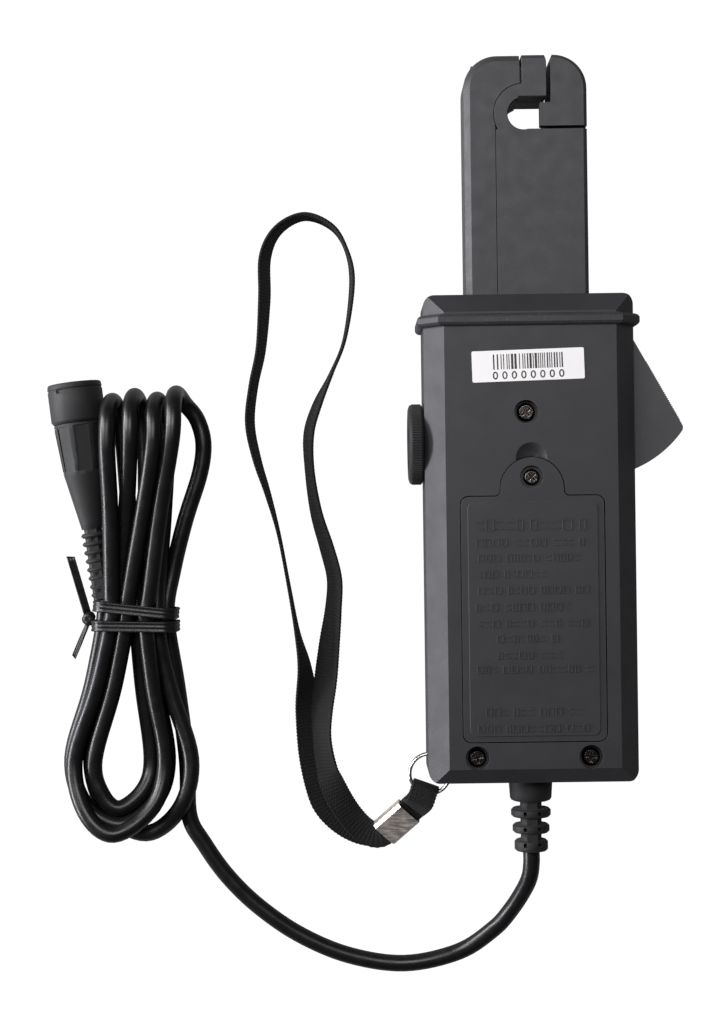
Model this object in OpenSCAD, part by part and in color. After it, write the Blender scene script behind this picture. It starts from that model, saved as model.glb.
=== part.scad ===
// Clamp-on current probe with a trigger jaw, output cable, insulated plug and wrist strap.
// Millimetres. Origin at the centre of the jaw aperture, half way through the jaw.
// +X to the right and +Y towards the jaw tip when looking at the back, +Z out of the back.

/* [Case] */
// Width of the case across its side walls
case_w = 66.8; // [66:0.1:68]
// Centre line of the case, to the right of the aperture
case_x = 0.6; // [0:0.1:1]
// Neck end of the case, below the aperture
case_top = 57.5; // [57:0.5:58]
// Length of the case from its neck end to its cable end
case_len = 155; // [154:0.5:157]
// Height of the back face above the jaw's mid-plane
back_z = 16.5; // [16:0.1:17]
// Depth of the front face below the jaw's mid-plane
front_z = 18; // [17.8:0.1:18.6]
// Wall thickness of both shells
wall = 2.2; // [2:0.1:2.4]
// Width of the long chamfers beside the back face
side_chamfer = 6.3; // [5:0.1:7]
// Corner radius of the case seen from the back
case_r = 3.6; // [2:0.1:5]
// How far the finger guard stands out of the side walls
guard_out = 1.9; // [1:0.1:2.2]

/* [Jaw] */
// Radius of the round aperture that the conductor passes through
aperture_r = 5.1; // [5:0.05:5.2]
// Thickness of the jaw
jaw_t = 20; // [19.6:0.1:20.4]
// Left edge of the neck
neck_left = -19; // [-19.4:0.1:-18.6]
// Right edge of the neck
neck_right = 20.2; // [20:0.1:20.4]
// Top of the jaw above the aperture centre
jaw_top = 18.7; // [18.4:0.1:19]
// Left side of the slit between hook and moving tip
slit_left = 7.4; // [7.2:0.1:7.5]
// Right side of the slit
slit_right = 8.7; // [8.5:0.1:8.9]

/* [Lever] */
// Pivot of the jaw and trigger lever
pivot = [21, -80.7]; // [0:0.1:100]
// Radius of the pivot pin
pin_r = 2.5; // [2:0.1:2.8]
// Radius of the curved lower edge of the trigger
trigger_r = 35.3; // [34:0.1:36]
// Thickness of the trigger
trigger_t = 14; // [12:0.5:14]
// Pitch of the serrations on the trigger
serration = 0.75; // [0.6:0.05:1.2]

/* [Zero knob] */
// Height of the knob's axis along the case
knob_y = -104.5; // [-105:0.1:-104]
// Diameter of the knob
knob_d = 26; // [24:0.5:26]
// How far the knob stands out of the side wall
knob_out = 5; // [4:0.1:6]

/* [Battery cover] */
// Width of the battery cover
cover_w = 45.1; // [44:0.1:46]
// Top shoulder of the battery cover
cover_top = -121.7; // [-122:0.1:-121]
// Bottom edge of the battery cover
cover_bottom = -198.9; // [-199:0.1:-198]
// Radius of the cover's arched tongue
tongue_r = 10; // [9:0.1:11]
// Gap all round the cover
cover_gap = 0.3; // [0.2:0.05:0.4]

/* [Cable, plug and strap] */
// Diameter of the output cable
cable_d = 4.8; // [4.5:0.1:4.8]
// Diameter of the plug's coupling sleeve
plug_d = 17.8; // [17:0.1:18]
// Width of the wrist strap webbing
strap_w = 8.6; // [8:0.1:9]
// Thickness of the webbing
strap_t = 1.1; // [1:0.05:1.2]

/* [Hidden] */
$fn = 64;

plastic = [0.26, 0.25, 0.27];
plastic_light = [0.30, 0.29, 0.30];
rubber = [0.09, 0.09, 0.09];
steel = [0.62, 0.62, 0.63];
black_steel = [0.13, 0.12, 0.12];
ferrite = [0.33, 0.33, 0.36];
board_green = [0.10, 0.32, 0.18];

case_bottom = -case_top - case_len;
case_left = case_x - case_w / 2;
case_right = case_x + case_w / 2;
end_chamfer = 6;
half_t = jaw_t / 2;
// Plates on both faces of the jaw leave this half height for the arm and the cores
channel_z = 6.3;
arm_z = 6.2;
core_z = 5.9;
arm_sweep_right = 24.9;
screw_y = -203.9;
screw_spots = [[-1, -95.2], [-17.7, screw_y], [18.1, screw_y]];
cover_screw_at = [0.45, -115.7];
seat_z = back_z - 2.6;
cover_t = 2.2;
cover_under = back_z - cover_t;
box_in = 20.7;
box_top = -124;
box_end = -195;
box_floor = -5;
board_z = -13.6;
board_t = 1.6;
ring_at = [-32, -211.3];
ring_z = -4;
ring_r = 6.5;
ring_wire = 1.1;

// ---------- helpers ----------

// A flat outline drawn in X and Z, run along Y from y0 down to y1
module along_y(y0, y1) {
  translate([0, y0, 0]) rotate([90, 0, 0]) linear_extrude(y0 - y1) children();
}

// A flat outline drawn in Y and Z, run along X from x0 to x1
module along_x(x0, x1) {
  translate([x0, 0, 0]) rotate([90, 0, 90]) linear_extrude(x1 - x0) children();
}

// A flat outline drawn in X and Y, run along Z from z0 to z1
module along_z(z0, z1) {
  translate([0, 0, z0]) linear_extrude(z1 - z0) children();
}

// A box between two opposite corners
module block(low, high) {
  translate(low) cube(high - low);
}

module rounded_rect(w, l, r) {
  square([w - 2 * r, l], center = true);
  square([w, l - 2 * r], center = true);
  for (sx = [-1, 1], sy = [-1, 1])
    translate([sx * (w / 2 - r), sy * (l / 2 - r)]) circle(r);
}

module post(at, z0, z1, r) {
  translate([at[0], at[1], z0]) cylinder(r = r, h = z1 - z0);
}

// Pan-head screw with a cross recess, head upwards, underside of the head at z = 0
module screw(head_r, head_h, shank_r, shank_l) {
  difference() {
    union() {
      cylinder(r = head_r, h = head_h * 0.45);
      translate([0, 0, head_h * 0.45])
        cylinder(r1 = head_r, r2 = head_r * 0.72, h = head_h * 0.55);
    }
    for (a = [45, 135])
      rotate(a) block([-head_r * 0.62, -0.42, head_h * 0.3], [head_r * 0.62, 0.42, head_h + 1]);
  }
  translate([0, 0, -shank_l]) cylinder(r = shank_r, h = shank_l + 0.1);
}

// ---------- case ----------

module case_section(g, out = 0) {
  h = case_w / 2 - g + out;
  b = back_z - g + out * 0.8;
  f = front_z - g;
  c = side_chamfer;
  translate([case_x, 0]) polygon([
    [-h, 4 - f], [4 - h, -f], [h - 4, -f], [h, 4 - f],
    [h, b - c - 0.7], [h - c, b], [c - h, b], [-h, b - c - 0.7]]);
}

module case_side(g) {
  t = -case_top - g;
  e = case_bottom + g;
  b = back_z - g;
  f = front_z - g;
  polygon([
    [e, 3 - f], [e + 3, -f], [t - 3, -f], [t, 3 - f],
    [t, b - end_chamfer], [t - end_chamfer, b],
    [e + 5, b], [e, b - 5]]);
}

module case_solid(g) {
  intersection() {
    along_y(-case_top, case_bottom) case_section(g);
    along_x(case_left, case_right) case_side(g);
    along_z(-front_z, back_z)
      translate([case_x, -case_top - case_len / 2])
        rounded_rect(case_w - 2 * g, case_len - 2 * g, max(case_r - g, 0.8));
  }
}

// Finger guard: a rounded band round the case just below its neck end
module guard_band() {
  y = -66;
  intersection() {
    hull() for (k = [[1.9, 1.2], [1.45, 0.4], [0.8, 0]])
      along_y(y + k[0], y - k[0]) case_section(0, guard_out - k[1]);
    block([-60, -70, 4 - front_z], [60, -60, back_z + 2]);
  }
}

module case_hollow() {
  difference() {
    union() {
      case_solid(0);
      guard_band();
    }
    case_solid(wall);
  }
}

// Openings that both shells share
module case_openings() {
  // neck, and the slot beside it where the arm swings out
  block([neck_left - 0.2, -76, -half_t - 0.15], [neck_right + 0.2, -50, half_t + 0.15]);
  block([10, -76, -arm_z - 0.3], [arm_sweep_right, -50, arm_z + 0.3]);
  // trigger window in the right wall
  block([case_right - 4, -115.6, -trigger_t / 2 - 0.3], [case_right + 1, -70.3, trigger_t / 2 + 0.3]);
  // shaft of the zero knob
  translate([case_left - 1, knob_y, 0]) rotate([0, 90, 0]) cylinder(r = 3.6, h = 4);
  // strain relief neck
  translate([0.3, case_bottom - 1, 0]) rotate([-90, 0, 0]) cylinder(r = 4.6, h = 4);
  // quarter groove behind the corner post that the split ring passes round
  translate([ring_at[0], ring_at[1], ring_z - 2.4]) difference() {
    cylinder(r = ring_r + 1.7, h = 4.8);
    cylinder(r = ring_r - 1.7, h = 4.8);
  }
}

module bosses(z0, z1, r) {
  for (p = screw_spots) post(p, z0, z1, r);
}

module battery_box() {
  difference() {
    block([case_x - box_in - 3.2, box_end - 1.6, box_floor - 1.5],
      [case_x + box_in + 3.2, box_top + 3.4, cover_under + 0.2]);
    block([case_x - box_in, box_end, box_floor], [case_x + box_in, box_top, back_z]);
    // the hinge end is cut down where the cover's tabs swing
    block([case_x - box_in - 3, box_end - 2, 11], [case_x + box_in + 3, box_end + 0.1, back_z]);
    // passage for the battery leads
    block([-8, box_top - 1, box_floor + 1], [-3, box_top + 5, box_floor + 6]);
  }
  // ribs that locate the battery
  for (sx = [-1, 1])
    block([case_x + sx * 15.2 - 0.8, -188, box_floor - 0.1], [case_x + sx * 15.2 + 0.8, -145, 8]);
  // shelf under the tongue
  along_z(cover_under - 1.6, cover_under + 0.2) cover_tongue(1.2);
  post(cover_screw_at, 3, cover_under, 3.3);
}

module cover_tongue(g) {
  translate([case_x, cover_top + 2.2]) circle(tongue_r + g);
  translate([case_x - tongue_r - g, cover_top - 1]) square([2 * (tongue_r + g), 3.2]);
}

module cover_outline(g) {
  fillet = 1.7 - g;
  translate([case_x, (cover_top + cover_bottom) / 2])
    rounded_rect(cover_w + 2 * g, cover_top - cover_bottom + 2 * g, 2.5 + g);
  cover_tongue(g);
  for (sx = [-1, 1])
    translate([case_x + sx * (tongue_r + g), cover_top + g]) scale([1, 1]) difference() {
      translate([sx > 0 ? -0.1 : -fillet, -0.1]) square([fillet + 0.1, fillet + 0.1]);
      translate([sx * fillet, fillet]) circle(fillet);
    }
}

module rear_shell() {
  color(plastic) difference() {
    union() {
      intersection() {
        union() {
          case_hollow();
          intersection() {
            case_solid(0.5);
            union() {
              bosses(0.05, back_z, 4.8);
              post(pivot, trigger_t / 2 + 0.2, back_z, 4.5);
              for (p = jaw_screw_spots) post(p, half_t + 0.1, back_z, 3.2);
              post([ring_at[0] + 2.6, ring_at[1] + 2.6], 0.05, back_z - 5, 3.4);
            }
          }
        }
        block([-60, -240, 0.05], [60, 0, 30]);
      }
      battery_box();
    }
    case_openings();
    along_z(cover_under - 0.05, back_z + 3) cover_outline(cover_gap);
    for (p = screw_spots) {
      post(p, seat_z, back_z + 1, 3.75);
      post(p, -1, seat_z + 0.1, 1.75);
    }
    post(cover_screw_at, 2, back_z, 1.26);
    post(pivot, 0, back_z - 1.2, pin_r + 0.01);
    for (p = jaw_screw_spots) post(p, 0, half_t + 3.5, 1.26);
    // finger scoop above the tongue
    translate([0.5, -109.7, back_z + 6.4]) sphere(8.1);
  }
}

module front_shell() {
  color(plastic) difference() {
    union() {
      intersection() {
        union() {
          case_hollow();
          intersection() {
            case_solid(0.5);
            union() {
              bosses(-front_z, -0.05, 4);
              post(pivot, -front_z, -trigger_t / 2 - 0.2, 4.5);
              post([ring_at[0] + 2.6, ring_at[1] + 2.6], -front_z + 1, -0.05, 3.4);
              for (p = jaw_screw_spots) post(p, -front_z, -half_t - 0.1, 3.2);
              // supports under the circuit board
              for (x = [-22, 24], y = [-112, -192]) post([x, y], -front_z, board_z, 2.6);
              // seat of the return spring
              block([1.5, -107, -front_z], [4, -97.6, 5.5]);
            }
          }
        }
        block([-60, -240, -30], [60, 0, -0.05]);
      }
    }
    case_openings();
    for (p = screw_spots) post(p, -13, 1, 1.52);
    for (p = jaw_screw_spots) post(p, -16.6, 0, 1.75);
    for (p = jaw_screw_spots) post(p, -front_z - 1, -front_z + 3.1, 3.1);
    post(pivot, -front_z + 1.5, 0, pin_r + 0.01);
    // recess and slot of the range switch
    block([-24, -101, -front_z - 1], [-12, -87, -front_z + 1]);
    block([-20.1, -98.1, -front_z - 1], [-15.9, -89.9, -front_z + 3]);
    post([10, -100], -front_z - 1, -front_z + 3, 1.56);
  }
}

module battery_cover() {
  color(plastic_light) difference() {
    union() {
      along_z(cover_under, back_z) cover_outline(0);
      // raised panel
      along_z(back_z - 0.1, back_z + 0.35)
        translate([case_x, (cover_top + cover_bottom) / 2])
          rounded_rect(cover_w - 4.3, cover_top - cover_bottom - 3.7, 2.2);
      // hooked tabs under the hinge end
      for (sx = [-1, 1]) {
        block([case_x + sx * 9 - 3, cover_bottom + 0.4, cover_under - 1.6],
          [case_x + sx * 9 + 3, cover_bottom + 2.4, cover_under + 0.1]);
        block([case_x + sx * 9 - 3, cover_bottom - 2, cover_under - 1.6],
          [case_x + sx * 9 + 3, cover_bottom + 0.5, cover_under - 0.15]);
      }
    }
    post(cover_screw_at, cover_under + 0.8, back_z + 1, 3.6);
    post(cover_screw_at, cover_under - 1, back_z, 1.6);
  }
}

module cover_screw() {
  color(black_steel) translate([cover_screw_at[0], cover_screw_at[1], cover_under + 0.8])
    screw(2.6, 1.3, 1.25, 8);
}

module case_screws() {
  color(black_steel) for (p = screw_spots)
    translate([p[0], p[1], seat_z]) rotate(p[0] * 7) screw(2.9, 2, 1.5, 25.5);
}

module serial_label() {
  color("white") translate([-0.2, -80.5, back_z]) rotate(1.5)
    linear_extrude(0.15) rounded_rect(35.3, 9.8, 0.5);
}

// ---------- neck and jaw ----------

jaw_screw_spots = [[-14, -70], [3, -70]];
spine_inner = -9;
tail_end = -75;
flare_h = 2.8;
foot_back = 7.3;
foot_z = 6;
flare_w = 0.75;

// Full neck and jaw envelope, edges cut back by a chamfer c
module jaw_envelope(c) {
  w = neck_right - neck_left;
  r = 10.7;
  section = [[-w / 2, c - half_t], [c - w / 2, -half_t], [w / 2 - c, -half_t], [w / 2, c - half_t],
    [w / 2, half_t - c], [w / 2 - c, half_t], [c - w / 2, half_t], [-w / 2, half_t - c]];
  translate([(neck_left + neck_right) / 2, 0, 0]) {
    along_y(jaw_top - r, tail_end) polygon(section);
    along_x(r - w / 2, w / 2 - r) polygon([
      [0, -half_t], [jaw_top - c, -half_t], [jaw_top, c - half_t],
      [jaw_top, half_t - c], [jaw_top - c, half_t], [0, half_t]]);
    for (sx = [-1, 1])
      translate([sx * (w / 2 - r), jaw_top - r, 0]) rotate_extrude() polygon([
        [0, -half_t], [r - c, -half_t], [r, c - half_t], [r, half_t - c], [r - c, half_t], [0, half_t]]);
  }
}

// Outline of the spine: the outer strip, bent round the aperture at the top
module spine_outline() {
  difference() {
    translate([neck_left - 1, tail_end]) square([spine_inner - neck_left + 1, jaw_top + 1 - tail_end]);
    circle(9.6);
  }
  difference() {
    translate([spine_inner - 0.5, 0]) square([8.4 + 0.5 - 0.5, jaw_top + 1]);
    circle(9.6);
  }
}

// Outline of the plates: hook, ring beside the aperture and the field below
module plate_outline() {
  difference() {
    union() {
      circle(9.5);
      translate([spine_inner + 0.1, tail_end]) square([neck_right - spine_inner - 0.1, -4.9 - tail_end]);
      translate([-0.5, 0]) square([slit_left + 0.5, jaw_top + 1]);
    }
    circle(aperture_r);
    // flat under the hook, and everything right of it belongs to the moving jaw
    translate([-1.5, 0]) square([9, 5.4]);
    translate([0, -4.9]) square([30, 10.3]);
    translate([slit_left, -4.9]) square([30, 40]);
    // flare that opens the slit at the top
    polygon([[slit_left + 0.1, jaw_top - flare_h], [slit_left - flare_w, jaw_top + 1],
      [slit_left + 1, jaw_top + 1]]);
  }
}

// Parts of the plates' outline within t of the aperture and the slit
module plate_rim(t) {
  intersection() {
    plate_outline();
    union() {
      circle(aperture_r + t);
      translate([-1.5, 5.3]) square([9, t + 0.1]);
      translate([slit_left - t, 5.3]) square([t, jaw_top]);
      translate([-1, jaw_top - t]) square([9, t]);
      translate([-1, -4.9 - t]) square([10, t]);
    }
  }
}

module core_outline() {
  difference() {
    union() {
      difference() {
        translate([-16.4, -14]) square([24.6, 30]);
        translate([0, -30]) square([30, 36]);
      }
      translate([-1, -14]) square([9.4, 7.2]);
    }
    circle(6.8);
    translate([5.9, 0]) square([10, 30]);
    translate([-1, 0]) square([10, 7]);
    // sensor gap
    translate([-20, -1]) square([14, 2]);
  }
}

module jaw_spine() {
  color(plastic) difference() {
    intersection() {
      jaw_envelope(2);
      along_z(-half_t, half_t) spine_outline();
    }
    // pocket for the core and the sensor
    block([-16.6, -14.2, -core_z - 0.1], [spine_inner + 20, 16.2, core_z + 0.1]);
    for (p = jaw_screw_spots) post(p, -half_t - 1, half_t + 1, 1.6);
  }
}

module jaw_plate() {
  difference() {
    intersection() {
      jaw_envelope(1.1);
      union() {
        along_z(channel_z, half_t) plate_outline();
        along_z(0.05, channel_z + 0.1) plate_rim(1.2);
      }
    }
    for (p = jaw_screw_spots) post(p, 0, half_t + 1, 1.6);
  }
}

module jaw_rear_plate() {
  color(plastic_light) jaw_plate();
}

module jaw_front_plate() {
  color(plastic_light) mirror([0, 0, 1]) jaw_plate();
}

module jaw_screws() {
  color(black_steel) for (p = jaw_screw_spots)
    translate([p[0], p[1], -front_z + 3.1]) rotate([180, 0, 0]) screw(2.7, 1.8, 1.25, 27.6);
}

module fixed_core() {
  color(ferrite) along_z(-core_z, core_z) core_outline();
}

module hall_sensor() {
  color(rubber) block([-15, -0.9, -2.4], [-8.4, 0.9, 2.4]);
}

module sensor_wires() {
  color("firebrick") for (i = [-1, 0, 1])
    block([-8.4, i * 0.5 - 0.2, i * 1.2 - 0.25], [-7.2, i * 0.5 + 0.2, i * 1.2 + 0.25]);
}

// ---------- lever ----------

module moving_tip_outline() {
  difference() {
    union() {
      translate([slit_right, -4]) square([neck_right - slit_right, jaw_top + 5]);
      translate([5.2, -4]) square([4, 7.4]);
    }
    circle(aperture_r);
    polygon([[slit_right - 0.1, jaw_top - flare_h], [slit_right + flare_w, jaw_top + 1],
      [slit_right - 1, jaw_top + 1]]);
  }
}

module moving_jaw() {
  color(plastic_light) difference() {
    union() {
      intersection() {
        jaw_envelope(1.1);
        along_z(-half_t, half_t) moving_tip_outline();
      }
      // arm between the plates, down to the pivot
      block([9.6, pivot[1], -arm_z], [19.8, -3, arm_z]);
      post(pivot, -arm_z, arm_z, 7);
      // tail that carries the trigger
      block([pivot[0], -98, -1.95], [33, pivot[1], 1.95]);
    }
    // the foot that closes the aperture is set back below its upper part
    block([5, -5, -half_t - 1], [foot_back, 3.5, foot_z]);
    // pocket of the core
    block([10.8, -13.9, -core_z + 1], [18.4, 15.7, core_z - 1]);
    post(pivot, -20, 20, pin_r + 0.05);
    for (p = trigger_screw_spots) post(p, -10, 10, 1.3);
  }
}

module moving_core() {
  color(ferrite) block([10.9, -13.8, -core_z + 1.1], [18.3, 15.6, core_z - 1.1]);
}

trigger_screw_spots = [[30.3, -87.5], [30.3, -95]];
trigger_corner = [29.3, -19.9];
trigger_apex = [13, 9.2];
trigger_round = 2;

module trigger_outline() {
  edge = trigger_corner - trigger_apex;
  run = norm(edge);
  along = edge / run;
  out = [-along[1], along[0]];
  // centre of the rounding between the outer edge and the curved lower edge
  reach = trigger_apex * out - trigger_round;
  round_at = reach * out + sqrt(pow(trigger_r - trigger_round, 2) - reach * reach) * along;
  translate(pivot) difference() {
    union() {
      intersection() {
        circle(trigger_r);
        polygon([[0, 0], [2, 9], trigger_apex, trigger_corner, trigger_corner * 1.3, [12, -60], [7, -50]]);
      }
      // serrations along the outer edge
      for (s = [9 : serration : run - 3])
        translate(trigger_apex + along * s) rotate(45) square(0.38, center = true);
    }
    circle(7.2);
    difference() {
      polygon([round_at, round_at + trigger_round * out, trigger_corner * 1.05,
        round_at * trigger_r / (trigger_r - trigger_round)]);
      translate(round_at) circle(trigger_round);
    }
    // everything left of the pivot stays clear of the spring
    translate([-40, -60]) square([46.5, 60]);
  }
}

module trigger() {
  color(plastic_light) difference() {
    along_z(-trigger_t / 2, trigger_t / 2) trigger_outline();
    block([pivot[0] - 1, -98.1, -2], [33.1, pivot[1] + 12, 2]);
    for (p = trigger_screw_spots) {
      post(p, -3, trigger_t / 2 + 1, 1.3);
      post(p, trigger_t / 2 - 2.2, trigger_t / 2 + 1, 2.5);
      post(p, -5, 0, 1.26);
    }
  }
}

module trigger_screws() {
  color(steel) for (p = trigger_screw_spots)
    translate([p[0], p[1], trigger_t / 2 - 2.2]) screw(2.2, 1.5, 1.24, 9);
}

module pivot_pin() {
  color(steel) post(pivot, -front_z + 1.6, back_z - 1.3, pin_r);
}

// ---------- zero knob ----------

module on_knob_axis() {
  translate([case_left, knob_y, 0]) rotate([0, -90, 0]) children();
}

module zero_knob() {
  r = knob_d / 2;
  flutes = 96;
  color(rubber) on_knob_axis() difference() {
    union() {
      rotate_extrude() polygon([[0, 0.25], [r - 1, 0.25], [r, 1], [r, knob_out - 1.2],
        [r - 0.5, knob_out - 0.4], [r - 1.6, knob_out], [0, knob_out]]);
    }
    for (i = [0 : flutes - 1])
      rotate(i * 360 / flutes) translate([r - 0.28, 0, -1]) rotate(-45) cube([1, 1, knob_out + 3]);
    // bore for the shaft
    translate([0, 0, -1]) cylinder(r = 3.0, h = knob_out - 0.5);
    // shallow dish in the outer face with a pointer mark
    translate([0, 0, knob_out - 0.5]) cylinder(r = r - 4, h = 2);
  }
}

module zero_pot() {
  color(steel) on_knob_axis() {
    translate([0, 0, -13]) cylinder(r = 2.99, h = 13 + knob_out - 1.6);
    translate([0, 0, -14.5]) cylinder(r = 8, h = 9);
  }
  color(steel) for (y = [-5, 0, 5])
    block([case_left + 8, knob_y + y - 0.5, board_z + board_t], [case_left + 8.8, knob_y + y + 0.5, -5]);
}

// ---------- electronics ----------

module circuit_board() {
  color(board_green) difference() {
    block([case_x - 27, -196, board_z], [case_x + 27, -87, board_z + board_t]);
    post(screw_spots[0], -20, 0, 4.6);
    block([1, -108, -20], [4.5, -97, 0]);
    post([10, -100], -20, -13.5, 1.6);
  }
}

module board_components() {
  top = board_z + board_t;
  color(rubber) {
    for (i = [0 : 2]) block([-18 + 12 * i, -150, top], [-11 + 12 * i, -141, top + 2.2]);
    for (i = [0 : 5]) block([-20 + 7 * i, -165, top], [-17 + 7 * i, -162.5, top + 1.2]);
    for (i = [0 : 1]) post([-14 + 26 * i, -178], top, top + 5, 3.5);
    block([12, -130, top], [20, -118, top + 3]);
  }
}

module range_switch() {
  color(steel) block([-21.5, -100, board_z - 1.7], [-14.5, -88, board_z]);
}

module switch_slider() {
  color(plastic_light) {
    block([-19.9, -96, -front_z + 0.9], [-16.1, -92, board_z - 1.75]);
    block([-22, -97, -front_z + 0.1], [-14, -91, -front_z + 0.95]);
  }
}

module power_lamp() {
  color("tomato") {
    post([10, -100], -front_z + 0.05, board_z, 1.5);
  }
}

module battery() {
  z0 = box_floor + 0.1;
  color([0.35, 0.36, 0.40]) block([case_x - 13.2, -190, z0], [case_x + 13.2, -143.5, z0 + 17.5]);
  color(steel) {
    translate([case_x - 6.3, -143.5, z0 + 8.7]) rotate([-90, 0, 0]) cylinder(r = 2.9, h = 2.2);
    translate([case_x + 6.3, -143.5, z0 + 8.7]) rotate([-90, 0, 0]) cylinder(r = 4, h = 2.2);
  }
}

module battery_snap() {
  z0 = box_floor + 0.1;
  color(rubber) block([case_x - 12.5, -141.2, z0 + 3], [case_x + 12.5, -137, z0 + 15]);
  color("firebrick") block([-5, -137.1, z0 + 4], [-4, box_top + 6, z0 + 5]);
}

// ---------- strain relief ----------

module on_relief_axis() {
  translate([0.3, case_bottom, 0]) rotate([90, 0, 0]) children();
}

module strain_relief() {
  rib_d = [12.8, 11.9, 10.8];
  color(rubber) on_relief_axis() difference() {
    union() {
      // flange inside the wall, neck through it, and the collar outside
      translate([0, 0, -wall - 2.1]) cylinder(r = 6.5, h = 2);
      translate([0, 0, -wall - 0.2]) cylinder(r = 4.5, h = wall + 1);
      rotate_extrude() polygon([[0, 0.05], [7.1, 0.05], [6.7, 6.2], [6.3, 6.9], [5.6, 7.2], [0, 7.2]]);
      cylinder(r1 = 3.6, r2 = 3.3, h = 23.2);
      // web along the back and the front
      for (s = [-1, 1])
        translate([0, s * 3.9, 15]) cube([3.4, 2.2, 16], center = true);
      for (i = [0 : 2])
        translate([0, 0, 9.6 + 5.1 * i]) rib(rib_d[i] / 2, i == 2 ? 3.6 : 2.8);
    }
    translate([0, 0, -10]) cylinder(r = cable_d / 2 + 0.05, h = 50);
    // slots between web and ribs
    for (i = [0 : 2], sx = [-1, 1])
      translate([sx * 2.3, 0, 11 + 5.1 * i]) cube([1, 20, 1.4], center = true);
  }
}

module rib(r, t) {
  rotate_extrude() polygon([[0, 0], [r - 0.6, 0], [r, 0.6], [r, t - 0.6], [r - 0.6, t], [0, t]]);
}

// ---------- plug ----------

plug_end = [-138.4, -153.7, -9.1];
plug_lean = 6.7;
plug_len = 71.5;
head_l = 13;

module on_plug() {
  translate(plug_end) rotate([-90, 0, plug_lean]) children();
}

module plug_coupling() {
  z0 = plug_len - head_l;
  r = plug_d / 2;
  color(rubber) on_plug() difference() {
    rotate_extrude() polygon([[5.0, z0], [r - 0.6, z0], [r, z0 + 0.8], [r, plug_len - 2.4],
      [r - 0.25, plug_len - 2.2], [r - 0.25, plug_len - 1.9], [r, plug_len - 1.7], [r - 0.2, plug_len - 0.3],
      [r - 0.5, plug_len], [7.6, plug_len], [7.6, z0 + 3], [5.0, z0 + 3]]);
    // bayonet marks in the rim
    for (a = [243, 63]) rotate(a) translate([r, 0, plug_len - 2.6]) cube([1.4, 2.4, 1.3], center = true);
  }
}

module plug_sleeve() {
  z0 = plug_len - head_l - 2.6;
  color(steel) on_plug() {
    rotate_extrude() polygon([[4.05, z0], [6.4, z0], [6.4, z0 + 2.4], [4.85, z0 + 2.4], [4.85, plug_len - 2],
      [4.05, plug_len - 2]]);
  }
}

module plug_insulator() {
  z0 = plug_len - head_l - 2.6;
  color("white") on_plug() difference() {
    translate([0, 0, z0]) cylinder(r = 4.0, h = 8);
    translate([0, 0, z0 - 1]) cylinder(r = 0.68, h = 10);
  }
}

module plug_pin() {
  z0 = plug_len - head_l - 2.6;
  color("gold") on_plug() translate([0, 0, z0]) cylinder(r = 0.675, h = head_l - 1.5);
}

module plug_boot() {
  cone_z = 24;
  grip_z = 43.5;
  grip_end = plug_len - head_l - 0.2;
  pitch = 2.8;
  rib_t = 1.6;
  color(rubber) on_plug() difference() {
    union() {
      // grip
      rotate_extrude() polygon([[0, grip_z - 0.5], [7.5, grip_z - 0.5],
        [8.5, grip_z + 13.2], [8.1, grip_end], [0, grip_end]]);
      // cone and relief
      cone_body(cone_z, grip_z);
      for (i = [0 : 7]) translate([0, 0, 1 + pitch * i]) rib(3.3 + 0.115 * i, rib_t);
      for (s = [-1, 1]) translate([0, s * 2.4, cone_z / 2]) cube([3, 1.8, cone_z - 1], center = true);
    }
    // thumb flats between the grip's ridges
    for (i = [0 : 7])
      rotate(i * 45 + 10) translate([8.15, 0, grip_z + 6.5]) rotate([0, 4, 0])
        cube([1.6, 4.6, 15], center = true);
    // windows through the web in every other gap between the ribs
    for (i = [0 : 2 : 6], s = [-1, 1])
      translate([0, s * 3.6, 1 + pitch * i + (pitch + rib_t) / 2])
        cube([1.3, 1.8, pitch - rib_t], center = true);
    translate([0, 0, -1]) cylinder(r = cable_d / 2 + 0.05, h = 40);
    translate([0, 0, plug_len - head_l - 2.7]) cylinder(r = 6.5, h = 5);
  }
}

module cone_body(z0, z1) {
  translate([0, 0, z0 - 0.5]) cylinder(r1 = 3.6, r2 = 7.4, h = z1 - z0 + 0.6);
  cylinder(r1 = 2.75, r2 = 2.95, h = z0);
}

// ---------- ring and crimp ----------

module split_ring() {
  color(steel) translate([ring_at[0], ring_at[1], ring_z]) for (s = [-1, 1])
    translate([0, 0, s * ring_wire * 0.5]) rotate_extrude()
      translate([ring_r, 0]) circle(ring_wire / 2, $fn = 32);
}

// The crimp lies on the table, pitched up towards the ring and rolled a little
crimp_at = [-42.8, -228.4, -13];
crimp_turn = [12, -18, 43];
crimp_l = 12;
crimp_w = 9.6;
crimp_h = 4.2;

module strap_crimp() {
  inner = 0.4;
  color(steel) translate(crimp_at) rotate(crimp_turn) difference() {
    along_x(-crimp_l / 2, crimp_l / 2) crimp_section(0);
    along_x(-crimp_l, crimp_l) crimp_section(inner);
  }
}

module crimp_section(g) {
  w = crimp_w / 2 - g;
  h = crimp_h / 2 - g;
  c = 0.95;
  polygon([[-w, -h], [w, -h], [w, h - c], [w - c, h], [c - w, h], [-w, h - c]]);
}

// ---------- flexible parts ----------

// A point on a Catmull-Rom spline between p[i] and p[i + 1]
function spline_at(p, i, t) =
  let (n = len(p) - 1, a = p[max(i - 1, 0)], b = p[i], c = p[min(i + 1, n)], d = p[min(i + 2, n)])
  0.5 * (2 * b + (c - a) * t + (2 * a - 5 * b + 4 * c - d) * t * t
    + (3 * b - a - 3 * c + d) * t * t * t);

function spline(p, steps) = concat(
  [for (i = [0 : len(p) - 2], k = [0 : steps - 1]) spline_at(p, i, k / steps)], [p[len(p) - 1]]);

function unit(v) = v / norm(v);

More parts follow.
